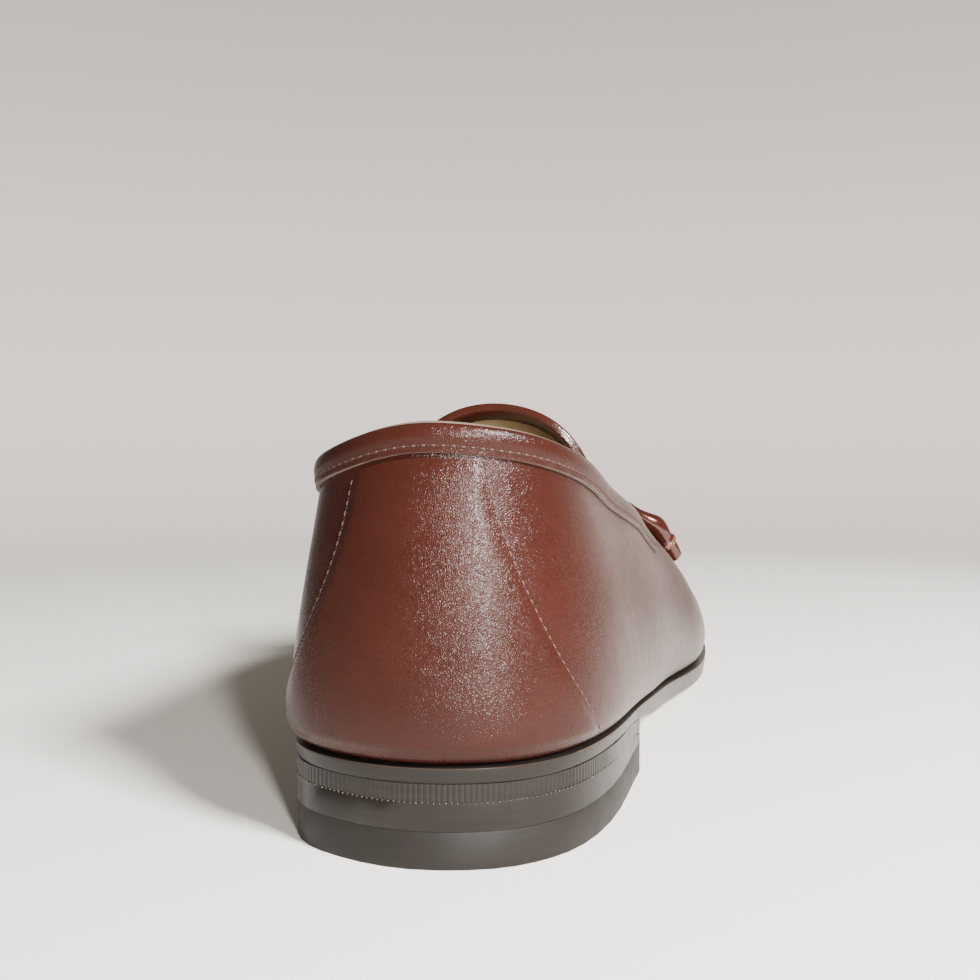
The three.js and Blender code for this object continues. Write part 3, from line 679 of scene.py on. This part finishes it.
# %% Heel counter
COUNTER_FEET = {"outer": Vector((32.6, -9.8, 20.1)) * MM, "inner": Vector((-30.0, -10.0, 20.0)) * MM}
COUNTER_GAP, COUNTER_PITCH, COUNTER_REACH = 0.3 * MM, 1.9 * MM, 2.2 * MM
COUNTER_LIFT, COUNTER_THIN, COUNTER_ROUND = 0.02 * MM, 0.62, 0.16 * MM
STEEP = math.radians(60)
counter = copy_of("heel_counter", "counter")
counter_lines = {name: follow_edge(counter, foot, (0, -0.3, 1)) for name, foot in COUNTER_FEET.items()}
counter_foot = follow_edge(counter, COUNTER_FEET["outer"], (-0.3, -1, 0))
counter_rim = follow_edge(counter, counter_lines["outer"][-1], (-1, -0.3, 0))
subdivide(counter, 2)
for line in (*counter_lines.values(), counter_foot, counter_rim):
    settle(counter, skin, line, COUNTER_REACH, COUNTER_LIFT, COUNTER_THIN, COUNTER_GAP)
    print("counter border", len(line), "points, from", [round(c / MM, 1) for c in line[0]])
apply(counter, "BEVEL", width=COUNTER_ROUND, segments=3, limit_method="ANGLE", angle_limit=STEEP)
give(counter, CALF)
smooth(counter)
finish_piece(counter, "calf", "heel_counter")

# %% [markdown]
# ## Collar band
# A strip is folded over the collar and its lower edge is left cut, stained and burnished to a paler brown.
# The fold is full and round, and the strip is pared towards the cut, so that it lies on the quarter. Along
# the quarters the cut is evened out, because the solid's few sections leave a wave in it.

# %% Collar band
BAND_END = Vector((38.1, 108.4, 42.1)) * MM
BAND_GAP, BAND_CUT_LOW, BAND_CUT_HIGH = 0.44 * MM, 0.7 * MM, 1.5 * MM
BAND_REACH, BAND_LIFT, BAND_THIN, BAND_ROUND = 3.4 * MM, 0.04 * MM, 0.66, 0.1 * MM
WAVE_REACH, WAVE_ROUNDS, WAVE_START, WAVE_FULL = 6 * MM, 4, 30 * MM, 50 * MM
band = copy_of("collar_band", "band")
band_line = follow_edge(band, BAND_END, (-0.3, -1, 0.3))
print("band border", len(band_line), "points, to", [round(c / MM, 1) for c in band_line[-1]])
give(band, CALF, CUT_EDGE)
cut_faces = paint(band, 1, lambda centre, normal:
                  BAND_CUT_LOW < skin.find_nearest(centre)[3] < BAND_CUT_HIGH)
band_line = straighten(band, skin, band_line, WAVE_REACH, WAVE_ROUNDS, WAVE_START, WAVE_FULL)
subdivide(band, 2)
settle(band, skin, band_line, BAND_REACH, BAND_LIFT, BAND_THIN, BAND_GAP)
apply(band, "BEVEL", width=BAND_ROUND, segments=2, limit_method="ANGLE", angle_limit=STEEP)
smooth(band)
finish_piece(band, "calf", "collar_band")
print("cut faces on the band:", cut_faces)

# %% [markdown]
# ## Tongue
# The tongue stands up inside the collar. Its back, towards the foot, is lining, and its edge is bound with
# a rolled strip of darker, glossier leather.

# %% Tongue and binding
FACES_DOWN = 0.05
tongue = copy_of("tongue", "tongue_leaf")
subdivide(tongue, 2)
give(tongue, CALF, LINING)
paint(tongue, 1, lambda centre, normal: normal.z < FACES_DOWN)
smooth(tongue)
finish_piece(tongue, "calf", "tongue")
binding = copy_of("tongue_binding", "tongue_roll")
subdivide(binding, 2, keep=100)
give(binding, BINDING)
smooth(binding, 60)
finish_piece(binding, "binding", "tongue_binding")

# %% [markdown]
# ## Strap, keepers and apron seam
# The strap carries the bit, and a small keeper holds each bar down on it. The apron is joined to the vamp
# by a raised seam.

# %% Strap, keepers and seam
STRAP_ROUND, KEEPER_ROUND = 0.3 * MM, 0.2 * MM
strap = copy_of("strap", "saddle_strap")
subdivide(strap, 2)
apply(strap, "BEVEL", width=STRAP_ROUND, segments=2, limit_method="ANGLE", angle_limit=STEEP)
give(strap, CALF)
smooth(strap)
finish_piece(strap, "calf", "strap")
for side in ("outer", "inner"):
    keeper = copy_of(f"keeper_{side}", f"keeper_loop_{side}")
    subdivide(keeper, 2)
    apply(keeper, "BEVEL", width=KEEPER_ROUND, segments=2, limit_method="ANGLE", angle_limit=STEEP)
    give(keeper, CALF)
    smooth(keeper)
    finish_piece(keeper, "calf", f"keeper_{side}")
seam = copy_of("apron_seam", "apron_ridge")
subdivide(seam, 2, keep=100)
give(seam, CALF)
smooth(seam, 60)
finish_piece(seam, "calf", "apron_seam")

# %% [markdown]
# ## Insole, outsole and heel
# The edge of the sole and the whole heel are sanded flush, stained dark and ironed with wax, so they read
# as one block. Its top and bottom corners are rubbed through to a thin brown line, and the sole's lower
# corner in the waist to a pale one.

# %% Insole
INSOLE_ROUND = 0.8 * MM
insole = copy_of("insole", "sock_lining")
subdivide(insole, 1)
apply(insole, "BEVEL", width=INSOLE_ROUND, segments=3, limit_method="ANGLE", angle_limit=STEEP)
give(insole, LINING)
smooth(insole)
finish_piece(insole, "lining", "insole")

# %% [markdown]
# The outsole is waxed round its edge and left raw underneath. Its corners are rounded after it is smoothed,
# and the narrow faces of those corners take the rubbed tones.

# %% Outsole
HEEL_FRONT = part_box("heel_lift")[1][1]
UNDERSIDE, CORNER_LOW, CORNER_HIGH = -0.8, 0.25, 0.93
SOLE_ROUND, SEAT_TOP = 0.3 * MM, 17.5 * MM
outsole = copy_of("outsole", "outsole_edge")
give(outsole, WAX, SOLE_LEATHER, RAW_LINE, BROWN_LINE)
subdivide(outsole, 2)
paint(outsole, 1, lambda centre, normal: normal.z < UNDERSIDE)


def is_corner(face_normal):
    return CORNER_LOW < abs(face_normal.z) < CORNER_HIGH


def shade_corners(obj, high, low, is_shown=lambda centre: True):
    for face in obj.data.polygons:
        if is_corner(face.normal) and is_shown(face.center):
            face.material_index = high if face.normal.z > 0 else low


apply(outsole, "BEVEL", width=SOLE_ROUND, segments=2, limit_method="ANGLE", angle_limit=STEEP)
shade_corners(outsole, 3, 2, lambda centre: centre.y > HEEL_FRONT or centre.z > SEAT_TOP)
smooth(outsole)
finish_piece(outsole, "sole_edge", "outsole")

# %% [markdown]
# ## The wheeled strip
# A hot wheel rolls close-set upright ribs into the strip under the sole, with a fine line of dots at their
# foot. The solid has ribs that run to sharp ridges. Each ridge is chamfered flat, which leaves narrow
# grooves. Wax fills the grooves by about a third, and towards the front of the heel the iron wipes them out
# altogether.

# %% Ribs
RIB_FLAT, RIBS_END, RIBS_FULL, RIB_FILL = 0.3 * MM, 6 * MM, -14 * MM, 0.35
SAME_LEVEL, GROOVE_ANGLE, RIDGE_ANGLE = 0.1 * MM, 20, 12


def upright_edges(bm, least):
    upright = [e for e in bm.edges if (e.verts[0].co - e.verts[1].co).xy.length < FRAME_POINT]
    return [e for e in upright if e.is_manifold and e.calc_face_angle(0) > math.radians(least)]


def fill_grooves(obj):
    bm = bmesh.new()
    bm.from_mesh(obj.data)
    for edge in [e for e in upright_edges(bm, GROOVE_ANGLE) if not e.is_convex]:
        for vert in edge.verts:
            around = [e.other_vert(vert).co for e in vert.link_edges]
            level = [co for co in around if abs(co.z - vert.co.z) < SAME_LEVEL]
            left, right = sorted(level, key=lambda co: (co - vert.co).length)[:2]
            filled = max(RIB_FILL, fade(RIBS_FULL, RIBS_END, vert.co.y))
            vert.co = vert.co.lerp((left + right) / 2, filled)
    bm.to_mesh(obj.data)
    bm.free()


def flatten_ridges(obj):
    alone(obj)
    bpy.ops.object.mode_set(mode="EDIT")
    bm = bmesh.from_edit_mesh(obj.data)
    ridges = [e for e in upright_edges(bm, RIDGE_ANGLE) if e.is_convex]
    for edge in ridges:
        edge.select_set(True)
    bmesh.update_edit_mesh(obj.data)
    bpy.ops.mesh.bevel(offset=RIB_FLAT, segments=1, affect="EDGES", clamp_overlap=True)
    bpy.ops.mesh.select_all(action="DESELECT")
    bpy.ops.object.mode_set(mode="OBJECT")
    return len(ridges)


def raise_top(obj, rise):
    points = points_of(obj)
    top = points[:, 2] > points[:, 2].mean()
    points[top, 2] += rise
    move_points(obj, points)


CLOSE_GAP = 0.29 * MM
strip = copy_of("heel_rand", "ribbed_strip")
fill_grooves(strip)
print("ribs:", flatten_ridges(strip))
raise_top(strip, CLOSE_GAP)
give(strip, WAX)
smooth(strip, 20)
finish_piece(strip, "sole_edge", "heel_rand")

# %% [markdown]
# The lift and the top piece are raised by the seated gap too, so that the whole heel closes up. The line
# where the ribbed strip meets the lift is kept, because the wheel's dots follow it.

# %% Lift and top piece
LIFT_ROUND, TOP_PIECE_ROUND, UPRIGHT = 0.05 * MM, 0.1 * MM, math.radians(70)
lift = copy_of("heel_lift", "lift")
corner = Vector((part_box("heel_lift")[1][0], HEEL_FRONT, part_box("heel_lift")[1][2]))
foot_line = follow_edge(lift, corner, (0, -1, 0))
print("foot of the strip:", len(foot_line), "points")
raise_top(lift, CLOSE_GAP)
apply(lift, "BEVEL", width=LIFT_ROUND, segments=1, limit_method="ANGLE", angle_limit=UPRIGHT)
give(lift, WAX)
smooth(lift, 35)
finish_piece(lift, "sole_edge", "heel_lift")
top_piece = copy_of("heel_top_piece", "top_piece")
give(top_piece, RUBBER, BROWN_LINE)
raise_top(top_piece, CLOSE_GAP)
apply(top_piece, "BEVEL", width=TOP_PIECE_ROUND, segments=2, limit_method="ANGLE", angle_limit=UPRIGHT)
shade_corners(top_piece, 0, 1)
smooth(top_piece, 35)
finish_piece(top_piece, "top_piece", "heel_top_piece")

# %% [markdown]
# One dot stands at the foot of each rib, half sunk in the wax. They stop where the ribs are wiped out.

# %% Dots at the foot of the ribs
DOT_PITCH, DOT_SIZE, DOT_RISE, DOT_SUNK = 1.06 * MM, 0.36 * MM, 0.2 * MM, 0.02 * MM
dots = []
spots = evenly(foot_line, DOT_PITCH, trim=1 * MM)
for i, spot in enumerate(spots):
    along = (spots[min(i + 1, len(spots) - 1)] - spots[max(i - 1, 0)]).normalized()
    out = along.cross(Vector((0, 0, 1)))
    out *= 1 if out.dot(Vector((spot.x, spot.y, 0))) > 0 else -1
    if spot.y < RIBS_END:
        dots.append((spot + Vector((0, 0, DOT_RISE)) - out * DOT_SUNK, along, out))
dot_row = sew("wheel_dots", dots, BEAD_WAX, DOT_SIZE, DOT_SIZE, sink=0.0)
finish_piece(dot_row, "sole_edge")

# %% [markdown]
# ## Bit
# The bit is cast and polished, so its bars, eyes and beads flow into each other. The faceted solid is cut
# into small even cubes and smoothed, which rounds it and melts its joints, and then swelled back to its
# first thickness. The arch above each ring is a fuller lobe than the solid's bar, and the narrow ring is
# paler.

# %% Bit
RINGS = {
    "bit_bar_outer": (Vector((37.5, 148.5, 40.2)) * MM, Vector((0.574, 0.468, -0.672))),
    "bit_bar_inner": (Vector((-38.9, 148.4, 38.2)) * MM, Vector((-0.438, 0.496, -0.75))),
}
RING_HALF, RING_REACH = 0.4 * MM, 5 * MM
CUBE, SWELL, ROUNDING, SECOND_ROUNDING = 0.2 * MM, 0.3 * MM, 10, 6
ARCH, ARCH_LEAN = Vector((34, 145.5, 44.5)) * MM, Vector((0.6, 0, 0.8))
ARCH_REACH, ARCH_OUT, ARCH_SWELL = 5.5 * MM, 1.7 * MM, 0.85 * MM
FOOT_TURN, FOOT_SWELL = Vector((-0.04, 0, -0.14)), 0.35 * MM


def shape_arch(piece, ring, axis):
    """Swell the arch above the ring to a full lobe, and turn the foot under the ring more upright."""
    side = math.copysign(1, ring.x)
    first = RINGS["bit_bar_outer"][0]
    middle = Vector((ARCH.x * side + ring.x - side * first.x, ARCH.y, ARCH.z + ring.z - first.z))
    out = Vector((ARCH_LEAN.x * side, 0, ARCH_LEAN.z))
    turn = Vector((FOOT_TURN.x * side, 0, FOOT_TURN.z))
    normals = [vert.normal.copy() for vert in piece.data.vertices]
    for vert, normal in zip(piece.data.vertices, normals):
        share = math.exp(-((vert.co - middle).length / ARCH_REACH) ** 2)
        beyond = (vert.co - ring).dot(axis)
        if beyond > 0 and (vert.co - ring).length < 2 * RING_REACH:
            vert.co += turn * beyond + normal * FOOT_SWELL
        vert.co += (out * ARCH_OUT + normal * ARCH_SWELL) * share
    piece.data.update()
    apply(piece, "SMOOTH", factor=0.5, iterations=SECOND_ROUNDING)


for node in ("bit_bar_outer", "bit_bar_inner", "bit_link"):
    piece = copy_of(node, f"{node}_metal")
    apply(piece, "REMESH", mode="VOXEL", voxel_size=CUBE)
    apply(piece, "SMOOTH", factor=0.5, iterations=ROUNDING)
    apply(piece, "DISPLACE", strength=SWELL, mid_level=0.0)
    give(piece, LACQUER, COPPER)
    if node in RINGS:
        ring, axis = RINGS[node]
        axis.normalize()
        shape_arch(piece, ring, axis)
        paint(piece, 1, lambda centre, normal: abs((centre - ring).dot(axis)) < RING_HALF
              and (centre - ring).length < RING_REACH)
    alone(piece)
    bpy.ops.object.shade_smooth()
    finish_piece(piece, "bit", node)

# %% [markdown]
# ## Sewing
# One row runs round the collar a little above the cut edge of the band, and one beside each border of the
# heel counter, closer to the edge and in a darker thread.

# %% Rows of stitches
COLLAR_INSET, COLLAR_PITCH, COUNTER_INSET = 1.15 * MM, 1.8 * MM, 0.6 * MM
stitch_row("collar_stitches", band_line, tree_of(band), COLLAR_INSET, -1, COLLAR_PITCH, THREAD)
counter_skin = tree_of(counter)
for name, line in counter_lines.items():
    side = -1 if name == "outer" else 1
    row = f"counter_stitches_{name}"
    stitch_row(row, line, counter_skin, COUNTER_INSET, side, COUNTER_PITCH, DARK_THREAD)

# %% [markdown]
# ## Stage, light and camera
# The shoe stands on a pale floor that melts into the backdrop a little past the toe: it goes clear with the
# distance from the shoe, and the world's own tone shows through.

# %% Floor
FLOOR_SIZE, FLOOR_CENTRE, FLOOR_SOLID, FLOOR_GONE = 1.6, Vector((0, 0.06, 0)), 0.26, 0.58
bpy.ops.object.select_all(action="DESELECT")
bpy.ops.mesh.primitive_plane_add(size=FLOOR_SIZE, location=(0, 0, 0))
floor = bpy.context.object
floor.name = "floor"
floor_material, floor_tree, floor_shader, floor_place = new_material("studio_floor")
floor_noise = add_node(floor_tree, "ShaderNodeTexNoise", Scale=3.0, Detail=3.0)
floor_tree.links.new(floor_place, floor_noise.inputs["Vector"])
floor_tone = mix_colour(floor_tree, floor_noise.outputs["Fac"], (0.80, 0.765, 0.715), (0.84, 0.805, 0.755))
floor_tree.links.new(floor_tone, floor_shader.inputs["Base Color"])
floor_shader.inputs["Roughness"].default_value = 0.7
floor_shader.inputs["Specular IOR Level"].default_value = 0.2
from_centre = add_node(floor_tree, "ShaderNodeVectorMath", operation="DISTANCE")
floor_tree.links.new(floor_place, from_centre.inputs[0])
from_centre.inputs[1].default_value = FLOOR_CENTRE
opacity = map_range(floor_tree, from_centre.outputs["Value"], FLOOR_SOLID, FLOOR_GONE, 1.0, 0.0)
opacity.node.interpolation_type = "SMOOTHERSTEP"
floor_tree.links.new(opacity, floor_shader.inputs["Alpha"])
give(floor, floor_material)
print("floor", FLOOR_SIZE, "m wide, clear", FLOOR_GONE, "m from the shoe")

# %% [markdown]
# The room gives little light of its own, so shadows are deep. Only the backdrop ahead is lit, and the side
# walls of the shoe mirror it at a low angle. The camera sees the backdrop at its full tone everywhere,
# palest just above the horizon.

# %% Room
BACKDROP = (
    (-0.12, (0.74, 0.665, 0.605)), (-0.06, (0.90, 0.79, 0.71)), (0.02, (1.0, 0.875, 0.78)),
    (0.16, (0.81, 0.745, 0.66)), (0.33, (0.57, 0.53, 0.46)),
)
BACKDROP_LIGHT, ROOM_LIGHT = 1.5, 0.2
LOW, HIGH = -0.2, 0.4
world = bpy.data.worlds.new("studio")
bpy.context.scene.world = world
world.use_nodes = True
room = world.node_tree
direction = add_node(room, "ShaderNodeSeparateXYZ")
room.links.new(add_node(room, "ShaderNodeTexCoord").outputs["Generated"], direction.inputs[0])
ramp = add_node(room, "ShaderNodeValToRGB")
steps = ramp.color_ramp.elements
while len(steps) < len(BACKDROP):
    steps.new(0.5)
for step, (height, tone) in zip(steps, BACKDROP):
    step.position = (height - LOW) / (HIGH - LOW)
    step.color = (*tone, 1)
room.links.new(map_range(room, direction.outputs["Z"], LOW, HIGH), ramp.inputs["Fac"])
ahead = map_range(room, direction.outputs["Y"], 0.55, 1.0)
level = map_range(room, direction.outputs["Z"], 0.2, 0.7, 1.0, 0.0)
lit = math_node(room, "MULTIPLY", ahead, level)
lit = math_node(room, "MAXIMUM", lit, ROOM_LIGHT)
seen = add_node(room, "ShaderNodeLightPath").outputs["Is Camera Ray"]
share = math_node(room, "MAXIMUM", seen, lit)
backdrop = room.nodes["Background"]
room.links.new(ramp.outputs["Color"], backdrop.inputs["Color"])
room.links.new(math_node(room, "MULTIPLY", share, BACKDROP_LIGHT), backdrop.inputs["Strength"])
print("room light", ROOM_LIGHT, "of the backdrop's")


# %% [markdown]
# A hard key light stands high on the right and throws the shadow to the left. A narrow upright strip,
# further back beside the camera, draws the long highlight down the heel.

# %% Lights
def area_light(name, place, target, size, power, colour):
    light = bpy.data.lights.new(name, "AREA")
    light.shape = "RECTANGLE"
    light.size, light.size_y = size
    light.energy = power
    light.color = colour
    lamp = bpy.data.objects.new(name, light)
    bpy.context.scene.collection.objects.link(lamp)
    lamp.location = place
    lamp.rotation_euler = (Vector(target) - Vector(place)).to_track_quat("-Z", "Y").to_euler()
    return lamp


KEY_WATTS, STRIP_WATTS = 41, 22
key = area_light("key_from_the_right", (0.62, -0.395, 0.565), (0, 0.05, 0.03), (0.2, 0.2), KEY_WATTS,
                 (1, 0.985, 0.96))
strip_light = area_light("strip_beside_camera", (0.475, -0.855, 0.25), (0, 0, 0.05), (0.08, 0.32),
                         STRIP_WATTS, (1, 0.97, 0.93))
print("lights:", key.name, strip_light.name)

# %% [markdown]
# The camera is low behind the heel and a little to the outer side, at the place and with the lens that put
# every edge where the photograph has it.

# %% Camera
CAMERA = Vector((51.8, -221.6, 79.4)) * MM
LOOKS_DOWN, TURNS_LEFT = 3.48, 11.07
LENS_PIXELS, FRAME_PIXELS, SENSOR = 1129.55, 980, 36.0
camera_data = bpy.data.cameras.new("camera")
camera_data.sensor_width = SENSOR
camera_data.lens = LENS_PIXELS / FRAME_PIXELS * SENSOR
camera_data.clip_start = 5 * MM
camera = bpy.data.objects.new("camera", camera_data)
bpy.context.scene.collection.objects.link(camera)
camera.location = CAMERA
camera.rotation_euler = (math.radians(90 - LOOKS_DOWN), 0, math.radians(TURNS_LEFT))
bpy.context.scene.camera = camera
print("camera", round(camera_data.lens, 2), "mm lens")
